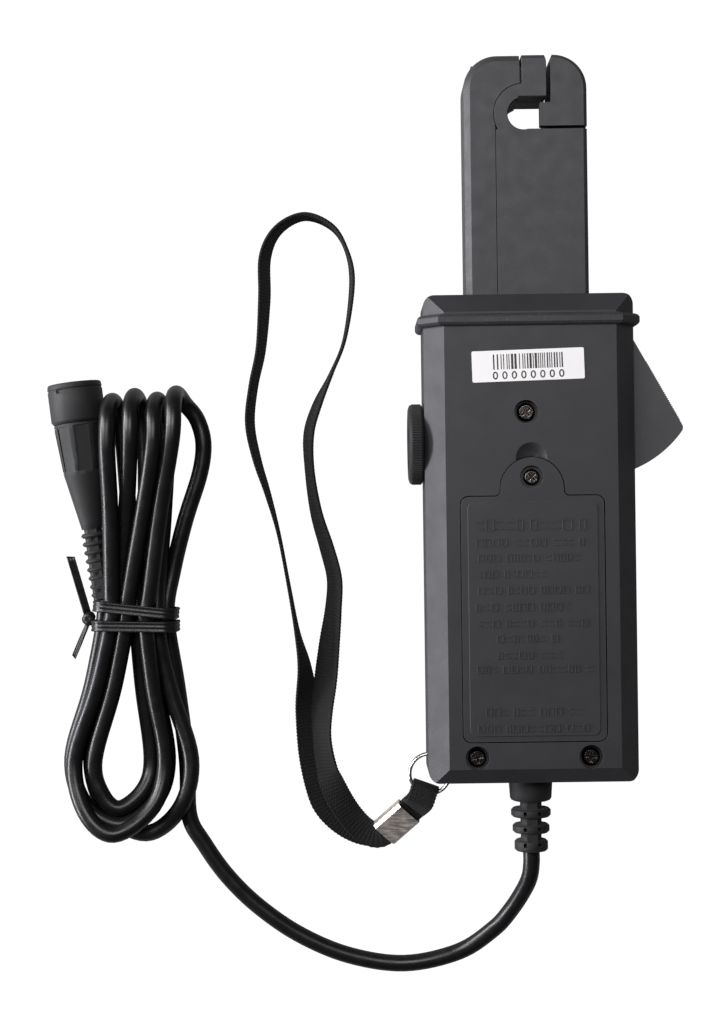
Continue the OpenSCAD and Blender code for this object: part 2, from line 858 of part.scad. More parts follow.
function tangents(p) = [for (i = [0 : len(p) - 1])
  unit(p[min(i + 1, len(p) - 1)] - p[max(i - 1, 0)])];

// Drop from v whatever part lies along the unit vector t
function across(v, t) = unit(v - (v * t) * t);

// Normals carried along a path without twisting
function carried_normals(t, first) =
  [for (i = 0, n = across(first, t[0]); i < len(t);
    i = i + 1, n = i < len(t) ? across(n, t[i]) : n) n];

// Skin a list of rings that all have the same number of points
module skin(rings) {
  n = len(rings);
  m = len(rings[0]);
  sides = [for (i = [0 : n - 2], j = [0 : m - 1], upper = [0, 1])
    let (a = i * m + j, b = i * m + (j + 1) % m, c = b + m, d = a + m) upper == 1 ? [a, c, d] : [a, b, c]];
  near = [for (j = [0 : m - 1]) m - 1 - j];
  far = [for (j = [0 : m - 1]) (n - 1) * m + j];
  polyhedron(points = [for (r = rings, q = r) q], faces = concat([near, far], sides));
}

module tube(path, r, sides) {
  t = tangents(path);
  n = carried_normals(t, [0, 0, 1]);
  skin([for (i = [0 : len(path) - 1]) [for (j = [0 : sides - 1])
    path[i] + r * (cos(j * 360 / sides) * n[i] - sin(j * 360 / sides) * cross(t[i], n[i]))]]);
}

// Flat webbing along a path, its width running along the vectors w
module ribbon(path, w, width, thick) {
  t = tangents(path);
  skin([for (i = [0 : len(path) - 1])
    let (a = across(w[i], t[i]) * width / 2, b = cross(t[i], across(w[i], t[i])) * thick / 2)
    [path[i] - a - b, path[i] + a - b, path[i] + a + b, path[i] - a + b]]);
}

// ---------- cable ----------

table_z = -front_z;
// Centre of the twist tie round the coil
coil = [-128.1, -159.6];
layer = 5.15;

// How far the tie under the bundle lifts it off the table
tie_lift = 1.2;

// A cable centre point, given from the coil's centre and by the layer it lies in
function laid(x, y, n) = [coil[0] + x, coil[1] + y,
  table_z + cable_d / 2 + 0.1 + n * layer + (abs(y) < 10 ? tie_lift : 0)];

// One flat turn below the tie, from the left pass round the bottom to the right pass.
// tl and tr: [x, layer] in the tie, l and r: [x, layer] at the widest, b: [x, y, layer] at the bottom,
// rise: share of the step from b's layer to r's that is made low on the right
function turn_below(tl, l, b, r, tr, rise = 0.5) = [
  laid(tl[0], 0, tl[1]),
  laid(tl[0] * 0.58 + l[0] * 0.42, -23, (tl[1] + l[1]) / 2),
  laid(l[0], -46.5, l[1]),
  laid(l[0] * 0.72 + b[0] * 0.28, -46.5 * 0.3 + b[1] * 0.7, l[1] * 0.35 + b[2] * 0.65),
  laid(b[0], b[1], b[2]),
  laid(r[0] * 0.76 + b[0] * 0.24, -46.5 * 0.36 + b[1] * 0.64, r[1] * rise + b[2] * (1 - rise)),
  laid(r[0], -46.5, r[1]),
  laid(tr[0] * 0.64 + r[0] * 0.36, -23, (tr[1] + r[1]) / 2),
  laid(tr[0], 0, tr[1])];

// One upright bend above the tie, from its lower pass over the top to its upper pass.
// a: [x, y] at the top of the bend
function bend_above(low, a, high) = [
  laid(low[0] * 0.45 + (a[0] + 2.2) * 0.55, 30, 0.1),
  laid(a[0] + 2.4, a[1] - 13, 0.05),
  laid(a[0] + 1.4, a[1] - 3.6, 0.5),
  laid(a[0] + 0.3, a[1], 2),
  laid(a[0] - 0.2, a[1] - 4.4, 3.6),
  laid(a[0] - 0.4, a[1] - 16, 4.0),
  laid(high[0] * 0.45 + a[0] * 0.55, 34, 2.6 + 0.4 * high[1] - 0.4),
  laid(high[0], 7, high[1] + 0.1)];

lead = [[0.3, -200, 0], [0.3, -213, 0], [0.3, -225, 0], [0.3, -231, 0], [0.3, -236, 0], [0.3, -240, -0.1],
  [-0.3, -244.8, -1.2], [-2.3, -250, -3.9], [-6.2, -257, -7.9], [-11.5, -263.6, -11.2],
  [-22.8, -271.6, -14.4], [-40.6, -275.5, -15.5], [-58.8, -272.7, -15.5], [-74.9, -265.8, -15.5],
  [-88.4, -256.4, -15.5], [-98.8, -246.1, -15.5], [-106.6, -235, -15.5], [-111.4, -225.5, -15.5]];
lead_under = [laid(16.2, -48, 0), laid(13.3, -23, 0), laid(10.2, 0, 0)];
arch = [laid(12.4, 15, 0), laid(16.7, 31.7, 0), laid(21.7, 47, 0), laid(23, 57, 0), laid(21, 64.9, 0),
  laid(17.4, 69.8, 0.35), laid(15.2, 73, 1.7), laid(14.9, 69.4, 3.5), laid(14.5, 58, 4.0),
  laid(9.9, 34.4, 3), laid(5.7, 7, 2.1)];
turn_a = turn_below([-6.6, 2], [-20.2, 1], [-6.9, -70.4, 2], [9.6, 1], [4.3, 2]);
turn_c = turn_below([-1.7, 2], [-13.7, 1], [-5.8, -62.8, 0.9], [4.5, 0], [0.9, 1]);
turn_d = turn_below([-4.6, 1], [-15.5, 0], [2.4, -71.8, 0], [18, 1.05], [7.5, 1], 1);
turn_b = turn_below([-9.6, 1.01], [-21.7, 0], [-5.2, -68, 1], [9.9, 0], [4, 0]);
tail_to_plug = [for (d = [0.2, 7, 14]) plug_end + d * [-sin(plug_lean), cos(plug_lean), 0]];

function reversed(p) = [for (i = [len(p) - 1 : -1 : 0]) p[i]];

// From inside the case, along the lead, round the coil and into the plug
cable_route = concat(
  lead, lead_under, arch,
  reversed(turn_a),
  reversed(bend_above([0.9, 1], [-5.9, 70.8], [-6.5, 2])),
  reversed(turn_c),
  reversed(bend_above([7.5, 1], [8.7, 71], [-1.0, 2])),
  reversed(turn_d),
  reversed(bend_above([4, 0], [1.4, 72.3], [-4.4, 1])),
  reversed(turn_b),
  tail_to_plug);

module cable() {
  color(rubber) tube(spline(cable_route, 4), cable_d / 2, 8);
}

// ---------- wrist strap ----------

// Each point is [x, y, tilt, lift]: tilt 0 stands the webbing on its edge, 90 lays it flat
strap_points = [
  [-56.5, -233.6, 84, 0.1], [-62.8, -230, 84, 0], [-67.6, -220, 80, 0], [-70.6, -207, 76, 0],
  [-71.8, -192, 64, 0], [-72.6, -177, 26, 0], [-74.8, -165.4, 5, 0], [-77.3, -150.5, 0, 0],
  [-80.4, -133.3, 0, 0], [-83.8, -120, 6, 0], [-87.4, -108, 12, 0], [-89.5, -96.2, 14, 0],
  [-88.2, -84, 13, 0], [-85.6, -71.8, 15, 0], [-84.2, -55, 21, 0], [-83.8, -41.4, 20, 0],
  [-79.4, -32.6, 12, 0], [-70.8, -28.3, 6, 0], [-62, -31.6, 3, 0], [-57.2, -38.8, 1, 0],
  [-55.2, -50, 7, 0], [-57.8, -68.5, 4, 0], [-62.5, -80.3, 6, 0], [-67.2, -90.4, 18, 0],
  [-70.1, -100, 21, 0], [-70, -112, 18, 0], [-68, -126, 24, 0], [-64.6, -138, 31, 0],
  [-62.3, -148, 33, 0], [-62.8, -158, 37, 0], [-64.2, -169, 50, 0.4], [-65.6, -181, 60, 1.2],
  [-67, -192.2, 52, 1.3], [-67, -201, 44, 1.4], [-65.3, -211.4, 54, 1.5], [-61.6, -221.6, 74, 1.5],
  [-55.6, -229.4, 84, 1.8]];

function crimp_point(x, z) = let (
    p = [crimp_turn[1], crimp_turn[2]],
    along = [cos(p[0]) * cos(p[1]), cos(p[0]) * sin(p[1]), -sin(p[0])],
    side = [-sin(p[1]), cos(p[1]), 0],
    up = cross(along, side))
  crimp_at + x * along + z * (up * cos(crimp_turn[0]) - side * sin(crimp_turn[0]));

function crimp_side() = let (
    p = [crimp_turn[1], crimp_turn[2]],
    along = [cos(p[0]) * cos(p[1]), cos(p[0]) * sin(p[1]), -sin(p[0])],
    side = [-sin(p[1]), cos(p[1]), 0])
  side * cos(crimp_turn[0]) + cross(along, side) * sin(crimp_turn[0]);

function strap_centre(s) = [s[0], s[1],
  table_z + s[3] + (strap_w * cos(s[2]) + strap_t * sin(s[2])) / 2 + 0.05];

function strap_width(s, dir) = [-dir[1] * sin(s[2]), dir[0] * sin(s[2]), cos(s[2])];

strap_dirs = tangents([for (s = strap_points) [s[0], s[1]]]);
// Heights of the lower and the upper layer of webbing in the crimp
grip_low = -1.1;
grip_high = 0.1;
strap_path = concat([for (x = [-0.4, -8.1, -10.1]) crimp_point(x, grip_low)],
  [for (s = strap_points) strap_centre(s)], [for (x = [-10.1, -8.1, -0.4]) crimp_point(x, grip_high)]);
strap_sides = concat([for (i = [0 : 2]) -crimp_side()],
  [for (i = [0 : len(strap_points) - 1]) strap_width(strap_points[i], strap_dirs[i])],
  [for (i = [0 : 2]) crimp_side()]);

// Short loop of webbing that ties the crimp to the split ring
ring_hold = 250;
hold_at = [ring_at[0] + ring_r * cos(ring_hold), ring_at[1] + ring_r * sin(ring_hold), ring_z];
inward = [-cos(ring_hold), -sin(ring_hold), 0];
ring_side = [sin(ring_hold), -cos(ring_hold), 0];
ring_loop_path = concat([for (x = [0.4, 6.2, 7.6]) crimp_point(x, grip_high)],
  [hold_at - 3.5 * inward + [0, 0, 1.4], hold_at + 0.4 * inward + [0, 0, 2.4],
  hold_at + 2.3 * inward + [0, 0, 1.9], hold_at + 3.1 * inward, hold_at + 2.3 * inward - [0, 0, 1.9],
  hold_at + 0.5 * inward - [0, 0, 2.4], hold_at - 2.4 * inward - [0, 0, 2.8]],
  [for (x = [7.6, 6.2, 0.4]) crimp_point(x, grip_low)]);
ring_loop_sides = [for (i = [0 : 12]) i < 3 || i > 9 ? crimp_side() : ring_side];

module wrist_strap() {
  color([0.07, 0.07, 0.07])
    ribbon(spline(strap_path, 5), spline(strap_sides, 5), strap_w, strap_t);
}

module ring_loop() {
  color([0.07, 0.07, 0.07])
    ribbon(spline(ring_loop_path, 5), spline(ring_loop_sides, 5), strap_w, 1.0);
}

// ---------- twist tie ----------

tie_w = 4;
tie_t = 0.9;

// A rounded wrap round the tied bundle at height y, slightly tilted
module tie_wrap(y, half_w, tilt) {
  low = table_z + 0.1;
  high = -0.35;
  translate([coil[0] + 0.1, coil[1] + y, 0]) rotate([0, 0, tilt])
    along_y(tie_w / 2, -tie_w / 2) difference() {
      tie_loop(half_w, low, high, 0);
      tie_loop(half_w, low, high, tie_t);
    }
}

module tie_loop(half_w, low, high, g) {
  r = 5;
  translate([0, (low + high) / 2]) rounded_rect(2 * (half_w - g), high - low - 2 * g, r - g);
}

// A cut end that leaves the knot at height y, in the direction a
module tie_tail(y, a, l, w) {
  translate([coil[0] - 16.1, coil[1] + y, -11.5]) rotate([0, 0, a]) rotate([0, -6, 0])
    block([0.7, -w / 2, -tie_t / 2], [l, w / 2, tie_t / 2]);
}

module twist_tie() {
  color([0.2, 0.2, 0.2]) {
    tie_wrap(2.6, 14.4, -3);
    tie_wrap(-3.2, 14.95, -2);
    // knot beside the bundle and the two cut ends
    translate([coil[0] - 16, coil[1], -11.5]) rotate([90, 0, 0])
      cylinder(r = 1.9, h = 4.4, center = true);
    tie_tail(2.4, 105, 18.5, 2.4);
    tie_tail(-2.4, 247, 11, 2);
  }
}

module return_spring() {
  turns = 7;
  x0 = 4.3;
  x1 = 27;
  coil_r = 3;
  steps = 16;
  path = [for (i = [0 : turns * steps]) let (a = i * 360 / steps)
    [x0 + (x1 - x0) * i / (turns * steps), -102.3 + coil_r * cos(a), coil_r * sin(a)]];
  color(steel) tube(path, 0.35, 6);
}

rear_shell();
front_shell();
battery_cover();
cover_screw();
case_screws();
serial_label();
jaw_spine();
jaw_rear_plate();
jaw_front_plate();
jaw_screws();
fixed_core();
hall_sensor();
sensor_wires();
moving_jaw();
moving_core();
trigger();
trigger_screws();
pivot_pin();
return_spring();
zero_knob();
zero_pot();
circuit_board();
board_components();
range_switch();
switch_slider();
power_lamp();
battery();
battery_snap();
strain_relief();
cable();
plug_boot();
plug_coupling();
plug_sleeve();
plug_insulator();
plug_pin();
split_ring();
strap_crimp();
ring_loop();
wrist_strap();
twist_tie();
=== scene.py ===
"""Looks of a clamp-on current probe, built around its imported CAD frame. Metres, in the row frame."""

import math
import random

import bmesh
import bpy
from mathutils import Matrix, Quaternion, Vector

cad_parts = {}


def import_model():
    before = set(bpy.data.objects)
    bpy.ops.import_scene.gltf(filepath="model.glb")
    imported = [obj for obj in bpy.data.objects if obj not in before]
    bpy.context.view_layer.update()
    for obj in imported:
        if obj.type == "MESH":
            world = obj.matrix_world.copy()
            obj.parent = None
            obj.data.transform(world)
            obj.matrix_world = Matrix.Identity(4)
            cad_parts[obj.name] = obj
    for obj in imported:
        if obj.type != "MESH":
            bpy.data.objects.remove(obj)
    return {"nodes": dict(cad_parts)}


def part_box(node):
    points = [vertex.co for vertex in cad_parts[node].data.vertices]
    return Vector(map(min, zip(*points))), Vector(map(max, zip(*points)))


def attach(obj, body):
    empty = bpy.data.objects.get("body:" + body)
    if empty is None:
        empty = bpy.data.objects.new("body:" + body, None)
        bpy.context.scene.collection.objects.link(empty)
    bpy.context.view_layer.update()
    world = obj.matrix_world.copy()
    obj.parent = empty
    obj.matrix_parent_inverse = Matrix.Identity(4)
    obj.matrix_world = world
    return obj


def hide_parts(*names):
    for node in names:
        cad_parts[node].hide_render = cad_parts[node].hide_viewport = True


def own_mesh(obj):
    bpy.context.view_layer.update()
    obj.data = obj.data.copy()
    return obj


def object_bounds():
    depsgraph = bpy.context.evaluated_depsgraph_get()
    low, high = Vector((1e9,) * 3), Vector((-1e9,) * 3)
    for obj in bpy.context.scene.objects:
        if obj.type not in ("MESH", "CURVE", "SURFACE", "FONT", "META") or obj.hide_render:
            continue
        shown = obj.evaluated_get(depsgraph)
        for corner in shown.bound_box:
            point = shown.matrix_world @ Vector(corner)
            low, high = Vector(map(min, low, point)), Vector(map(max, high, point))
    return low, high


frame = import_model()
cad_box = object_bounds()
nodes = frame["nodes"]
MM = 0.001
# Vertices closer than this are one and the same
WELD = 1e-6

# The photograph's viewpoint: straight down from 0.64 m above the table, LENS in mm
EYE = Vector((-0.05456, -0.1260, 0.6165))
LENS = 67.13
ROLL = math.radians(-0.75)


# ---------- shader helper ----------


class Shader:
    """A Principled material whose nodes are added one call at a time."""

    def __init__(self, name, **values):
        self.material = bpy.data.materials.new(name)
        self.material.use_nodes = True
        self.tree = self.material.node_tree
        self.surface = self.tree.nodes["Principled BSDF"]
        self.place = self.add("ShaderNodeTexCoord").outputs["Object"]
        self.normal = None
        for key, value in values.items():
            self.set(key.replace("_", " "), value)

    def add(self, kind, **settings):
        node = self.tree.nodes.new(kind)
        for key, value in settings.items():
            setattr(node, key, value)
        return node

    def feed(self, socket, value):
        """Gives an input a number or the output of another node."""
        if isinstance(value, bpy.types.NodeSocket):
            self.tree.links.new(value, socket)
        else:
            socket.default_value = value

    def set(self, name, value):
        self.feed(self.surface.inputs[name], value)

    def noise(self, size, detail=2.0, stretch=(1, 1, 1)):
        """Noise with features about size metres across."""
        scaled = self.add("ShaderNodeVectorMath", operation="MULTIPLY")
        self.feed(scaled.inputs[0], self.place)
        scaled.inputs[1].default_value = stretch
        node = self.add("ShaderNodeTexNoise")
        node.inputs["Scale"].default_value = 1 / size
        node.inputs["Detail"].default_value = detail
        self.feed(node.inputs["Vector"], scaled.outputs[0])
        return node.outputs[0]

    def ramp(self, value, start, end, low=0.0, high=1.0):
        """Maps value from start..end to low..high, held at the ends."""
        node = self.add("ShaderNodeMapRange")
        for socket, number in zip(node.inputs, (value, start, end, low, high)):
            self.feed(socket, number)
        return node.outputs[0]

    def math(self, operation, a, b=0.0):
        node = self.add("ShaderNodeMath", operation=operation)
        self.feed(node.inputs[0], a)
        self.feed(node.inputs[1], b)
        return node.outputs[0]

    def mix(self, share, a, b):
        """Colour a where share is 0, colour b where it is 1."""
        node = self.add("ShaderNodeMix", data_type="RGBA")
        for index, value in ((0, share), (6, a), (7, b)):
            self.feed(node.inputs[index], value)
        return node.outputs[2]

    def bump(self, height, depth):
        """Adds relief of this depth in metres on top of any earlier relief."""
        node = self.add("ShaderNodeBump")
        node.inputs["Distance"].default_value = depth
        self.feed(node.inputs["Height"], height)
        if self.normal:
            self.feed(node.inputs["Normal"], self.normal)
        self.normal = node.outputs[0]
        self.set("Normal", self.normal)

    def edges(self, radius):
        """Near 1 where the surface turns sharply within this radius."""
        rounded = self.add("ShaderNodeBevel", samples=4)
        rounded.inputs["Radius"].default_value = radius
        flat = self.add("ShaderNodeNewGeometry").outputs["Normal"]
        turn = self.add("ShaderNodeVectorMath", operation="DOT_PRODUCT")
        self.feed(turn.inputs[0], rounded.outputs[0])
        self.feed(turn.inputs[1], flat)
        return self.ramp(turn.outputs["Value"], 0.99, 0.75)

    def part(self, axis):
        """One coordinate of the place, in metres."""
        node = self.add("ShaderNodeSeparateXYZ")
        self.feed(node.inputs[0], self.place)
        return node.outputs[axis]

    def attribute(self, name):
        return self.add("ShaderNodeAttribute", attribute_name=name).outputs["Fac"]


def tint(colour, factor):
    return (colour[0] * factor, colour[1] * factor, colour[2] * factor, 1)


# ---------- materials ----------


def moulded_plastic(name, colour, rough, grain=0.3, dusty=0.0):
    """Spark-eroded ABS: fine grain, cloudy sheen, paler edges that are partly rubbed wear and partly a
    painted highlight, and a few specks of dust.
    """
    s = Shader(name, Specular_IOR_Level=0.32)
    cloud = s.noise(14 * MM, 3)
    shade = s.mix(s.ramp(cloud, 0.3, 0.7), tint(colour, 0.93), tint(colour, 1.07))
    # Sharp edges are painted paler: partly rubbed wear, partly a painted highlight along the edges.
    wear_and_highlight = s.math("MULTIPLY", s.edges(0.5 * MM), s.ramp(s.noise(3 * MM), 0.35, 0.7, 0.15, 0.75))
    shade = s.mix(wear_and_highlight, shade, tint(colour, 2.1))
    specks = s.ramp(s.noise(0.9 * MM, 4), 0.70, 0.74, 0, 0.5 + dusty)
    shade = s.mix(specks, shade, tint(colour, 2.0))
    s.set("Base Color", shade)
    s.set("Roughness", s.ramp(s.noise(5 * MM, 4), 0.3, 0.7, rough - 0.05, rough + 0.06))
    s.bump(s.noise(grain * MM, 3), 0.035 * MM)
    return s


# Heights in mm between which the guard band turns from its side to its crest
BAND_SIDE, BAND_CREST = 16.9, 17.6


def case_plastic():
    """The guard band's crest is scuffed pale where it is gripped."""
    s = moulded_plastic("case_plastic", (0.034, 0.032, 0.036), 0.46)
    crest = s.ramp(s.part(2), BAND_SIDE * MM, BAND_CREST * MM)
    scuffs = s.ramp(s.noise(0.9 * MM, 5), 0.6, 0.7)
    share = s.math("MULTIPLY", s.math("MULTIPLY", crest, scuffs), 0.25)
    shade = s.surface.inputs["Base Color"].links[0].from_socket
    s.set("Base Color", s.mix(share, shade, (0.2, 0.19, 0.19, 1)))
    return s.material


def soft_rubber():
    """The plug's boot and the strain relief: the moulded grain, darker and duller."""
    s = moulded_plastic("soft_rubber", (0.013, 0.013, 0.014), 0.6, 0.22)
    s.set("Sheen Weight", 0.06)
    return s.material


def cable_pvc():
    """Glossy black sheath, a little wavy, with faint handling marks."""
    s = Shader("cable_pvc", Specular_IOR_Level=0.42)
    marks = s.ramp(s.noise(2.2 * MM, 5), 0.62, 0.75)
    s.set("Base Color", s.mix(marks, (0.0055, 0.0055, 0.006, 1), (0.012, 0.012, 0.013, 1)))
    s.set("Roughness", s.ramp(s.noise(4 * MM, 3), 0.3, 0.75, 0.27, 0.4))
    s.bump(s.noise(9 * MM, 2), 0.12 * MM)
    s.bump(s.noise(0.5 * MM, 2), 0.004 * MM)
    return s.material


# Pitch of the webbing's ribs along the strap, and of its yarns across it
RIB_PITCH = 1.15 * MM
YARN_PITCH = 0.62 * MM


def webbing():
    """Woven nylon: cross ribs along the run, yarns across, fuzzy sheen."""
    s = Shader("webbing", Roughness=0.78, Specular_IOR_Level=0.25, Sheen_Weight=0.04)
    run = s.math("SINE", s.math("MULTIPLY", s.attribute("run"), 2 * math.pi / RIB_PITCH))
    side = s.math("SINE", s.math("MULTIPLY", s.attribute("side"), 2 * math.pi / YARN_PITCH))
    cross = s.math("MULTIPLY", run, side)
    yarn = s.math("ADD", s.math("MULTIPLY", cross, 0.5), 0.5)
    s.set("Base Color", s.mix(yarn, (0.0035, 0.0035, 0.004, 1), (0.010, 0.0095, 0.010, 1)))
    s.bump(yarn, 0.12 * MM)
    s.bump(s.noise(0.15 * MM, 3), 0.03 * MM)
    return s.material


def tie_vinyl():
    """Glossy vinyl over the wires of the twist tie."""
    s = Shader("tie_vinyl", Specular_IOR_Level=0.36)
    cloud = s.noise(2 * MM, 3)
    s.set("Base Color", s.mix(cloud, (0.006, 0.006, 0.0065, 1), (0.013, 0.013, 0.014, 1)))
    s.set("Roughness", s.ramp(cloud, 0.3, 0.7, 0.26, 0.4))
    s.bump(s.noise(0.6 * MM, 2), 0.02 * MM)
    return s.material


def metal(name, colour, rough, wear_and_highlight=None, brush=(1, 1, 1), edge=0.25):
    """Plated metal with fine streaks; the optional edge colour is paler, partly rubbed wear and partly
    a painted highlight along the edges.
    """
    s = Shader(name, Metallic=1.0)
    streak = s.noise(0.8 * MM, 4, brush)
    shade = s.mix(streak, tint(colour, 0.8), tint(colour, 1.15))
    # Sharp edges take the paler colour: partly wear, partly a painted highlight.
    if wear_and_highlight:
        shade = s.mix(s.edges(edge * MM), shade, wear_and_highlight)
    s.set("Base Color", shade)
    s.set("Roughness", s.ramp(streak, 0.3, 0.7, rough * 0.8, rough * 1.3))
    s.bump(streak, 0.01 * MM)
    return s.material


def paper():
    """Slightly cloudy white label stock."""
    s = Shader("label", Roughness=0.55, Specular_IOR_Level=0.4)
    cloud = s.noise(6 * MM, 3)
    s.set("Base Color", s.mix(cloud, (0.92, 0.89, 0.905, 1), (0.97, 0.94, 0.955, 1)))
    s.bump(s.noise(0.2 * MM, 3), 0.01 * MM)
    return s.material


def ink():
    """Flat black print."""
    s = Shader("ink", Roughness=0.5)
    s.set("Base Color", s.mix(s.noise(0.5 * MM), (0.012, 0.012, 0.014, 1), (0.03, 0.03, 0.032, 1)))
    return s.material


def board():
    """Green solder mask over faint copper tracks."""
    s = Shader("board", Roughness=0.35)
    tracks = s.ramp(s.noise(1.6 * MM, 1, (1, 0.25, 1)), 0.48, 0.52)
    s.set("Base Color", s.mix(tracks, (0.008, 0.06, 0.022, 1), (0.015, 0.11, 0.04, 1)))
    s.bump(tracks, 0.02 * MM)
    return s.material


def plain(name, low, high, rough, size=2.0, **values):
    """Small inner parts: two close tones clouded together, with light relief."""
    s = Shader(name, **values)
    cloud = s.noise(size * MM, 4)
    s.set("Base Color", s.mix(cloud, (*low, 1), (*high, 1)))
    s.set("Roughness", s.ramp(cloud, 0.3, 0.7, rough - 0.06, rough + 0.08))
    s.bump(s.noise(size * 0.2 * MM, 3), 0.02 * MM)
    return s.material


# One material for each slot of the record, and for the looks named in OWN_LOOK
finish = {
    "case_plastic": case_plastic(),
    "jaw_plastic": moulded_plastic("jaw_plastic", (0.040, 0.038, 0.042), 0.44).material,
    # The trigger's plastic is painted lighter than the jaw's: painted light that makes up for the shade
    # the case casts on it.
    "trigger_plastic_painted_light": moulded_plastic("trigger_plastic_painted_light", (0.076, 0.072, 0.077), 0.44).material,
    "soft_rubber": soft_rubber(),
    "cable_pvc": cable_pvc(),
    # The black screws' edges are painted near white: partly worn metal, partly a painted highlight
    # along the cross.
    "black_screw": metal("black_screw", (0.06, 0.05, 0.045), 0.26, (1, 0.95, 0.9, 1), edge=0.16),
    "steel": metal("steel", (0.55, 0.55, 0.56), 0.3),
    "nickel": metal("nickel", (0.66, 0.65, 0.63), 0.2, None, (0.2, 1, 1)),
    "label": paper(),
    "ferrite": plain("ferrite", (0.05, 0.05, 0.055), (0.09, 0.09, 0.095), 0.45, Metallic=0.6),
    "board": board(),
    "component": plain("component", (0.012, 0.012, 0.013), (0.03, 0.03, 0.032), 0.5),
    "wire_red": plain("wire_red", (0.4, 0.02, 0.015), (0.5, 0.035, 0.02), 0.4),
    "lamp_red": plain("lamp_red", (0.5, 0.01, 0.01), (0.6, 0.02, 0.015), 0.15, Transmission_Weight=0.4),
    "battery_wrap": plain("battery_wrap", (0.02, 0.022, 0.03), (0.05, 0.052, 0.06), 0.3, 8.0),
    "white_insulator": plain("white_insulator", (0.7, 0.69, 0.66), (0.78, 0.77, 0.74), 0.4),
    "satin_nickel": metal("satin_nickel", (0.92, 0.82, 0.75), 0.46, (0.8, 0.78, 0.75, 1), (0.2, 1, 1)),
    "gold": metal("gold", (0.85, 0.6, 0.25), 0.2),
    "webbing": webbing(),
    "tie_vinyl": tie_vinyl(),
}


# ---------- CAD nodes ----------


# Nodes whose finish differs a little from the rest of their slot; the trigger's is the jaw plastic
# painted about twice as light, painted light for the shade it lies in.
OWN_LOOK = {"strap_crimp": "satin_nickel", "trigger": "trigger_plastic_painted_light"}


def slot_of(node):
    """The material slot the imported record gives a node."""
    name = nodes[node].data.materials[0].name
    return name.split(".")[0]


def dress(node):
    """Puts the finished material in a CAD node's own slots."""
    slots = nodes[node].data.materials
    name = OWN_LOOK.get(node, slot_of(node))
    for i in range(len(slots)):
        slots[i] = finish[name]


# Faces that turn less than the first angle are one flat, edges that turn more than the second are sharp
FLAT_WITHIN = math.radians(0.3)
SHARP_FROM = math.radians(32)


def soften(node, width):
    """Welds a CAD node's facets and rounds its sharp edges."""
    o = nodes[node]
    weld = o.modifiers.new("weld", "WELD")
    weld.merge_threshold = WELD
    if node in PLANAR:
        flat = o.modifiers.new("flat", "DECIMATE")
        flat.decimate_type = "DISSOLVE"
        flat.angle_limit = FLAT_WITHIN
    bevel = o.modifiers.new("round", "BEVEL")
    bevel.width = width
    bevel.segments = 2
    bevel.limit_method = "ANGLE"
    bevel.angle_limit = SHARP_FROM
    bevel.harden_normals = True


# Width in mm of the rounding on each node's sharp edges
SOFTENED = {
    "rear_shell": 0.35, "front_shell": 0.35, "battery_cover": 0.22, "jaw_spine": 0.3,
    "jaw_rear_plate": 0.22, "jaw_front_plate": 0.22, "moving_jaw": 0.3, "trigger": 0.12,
    "zero_knob": 0.08, "plug_boot": 0.2, "plug_coupling": 0.2, "strain_relief": 0.2,
    "strap_crimp": 0.2, "case_screws": 0.08, "cover_screw": 0.08, "jaw_screws": 0.08,
    "trigger_screws": 0.08, "switch_slider": 0.15, "battery": 0.4, "battery_snap": 0.3,
    "board_components": 0.12, "zero_pot": 0.2, "plug_sleeve": 0.1,
}

# Nodes whose flat faces lose their inner edges before they are rounded
PLANAR = {
    "jaw_rear_plate", "jaw_front_plate", "moving_jaw", "trigger", "battery_cover", "rear_shell",
    "jaw_spine",
}

for name in nodes:
    dress(name)
for name, width in SOFTENED.items():
    soften(name, width * MM)


# ---------- swept pieces ----------


def linked(v):
    """The vertices at the far ends of a vertex's edges."""
    return {e.other_vert(v) for e in v.link_edges}


def walk(ring, total):
    """Rings reached edge by edge from an end ring, or None if they do not all have its size."""
    size = len(ring)
    seen = set(ring)
    rings = []
    while ring:
        if len(ring) != size:
            return None
        rings.append([v.co.copy() for v in sorted(ring, key=lambda v: v.index)])
        ring = set().union(*(linked(v) for v in ring)) - seen
        seen |= ring
    return rings if len(seen) == total else None


def corner_sets(near):
    """Sets of four linked vertices that could be the end of a ribbon."""
    for v in near:
        for a in linked(v):
            for b in linked(v) - {a}:
                for c in (linked(a) & linked(b)) - {v}:
                    yield {v, a, b, c}


# Corners of a ribbon's ring, and how many vertices near its end are tried as a corner
RIBBON = 4
SEARCHED = 60


def rings_of(node, sides, start):
    """Rings of a faceted tube or ribbon, in order from the end that is nearest to start."""
    mesh = bmesh.new()
    mesh.from_mesh(nodes[node].data)
    bmesh.ops.remove_doubles(mesh, verts=mesh.verts, dist=WELD)
    mesh.verts.index_update()
    near = sorted(mesh.verts, key=lambda v: (v.co - start).length)
    ends = corner_sets(near[:SEARCHED]) if sides == RIBBON else [set(near[:sides])]
    for end in ends:
        rings = walk(end, len(mesh.verts))
        if rings:
            break
    mesh.free()
    return rings


def centre(points):
    """The mean of the points."""
    return sum(points, Vector()) / len(points)


def spline(points, steps):
    """Catmull-Rom curve through the points."""
    out = []
    last = len(points) - 1
    for i in range(last):
        a, b, c, d = (points[min(max(j, 0), last)] for j in (i - 1, i, i + 1, i + 2))
        for k in range(steps):
            t = k / steps
            out.append(0.5 * (2 * b + (c - a) * t + (2 * a - 5 * b + 4 * c - d) * t * t
                              + (3 * b - a - 3 * c + d) * t * t * t))
    return out + [points[last]]


def directions(path):
    """Heading of the path at each point."""
    last = len(path) - 1
    return [(path[min(i + 1, last)] - path[max(i - 1, 0)]).normalized() for i in range(last + 1)]


def lengths(path):
    """Distance along the path at each point."""
    run = [0.0]
    for a, b in zip(path, path[1:]):
        run.append(run[-1] + (b - a).length)
    return run


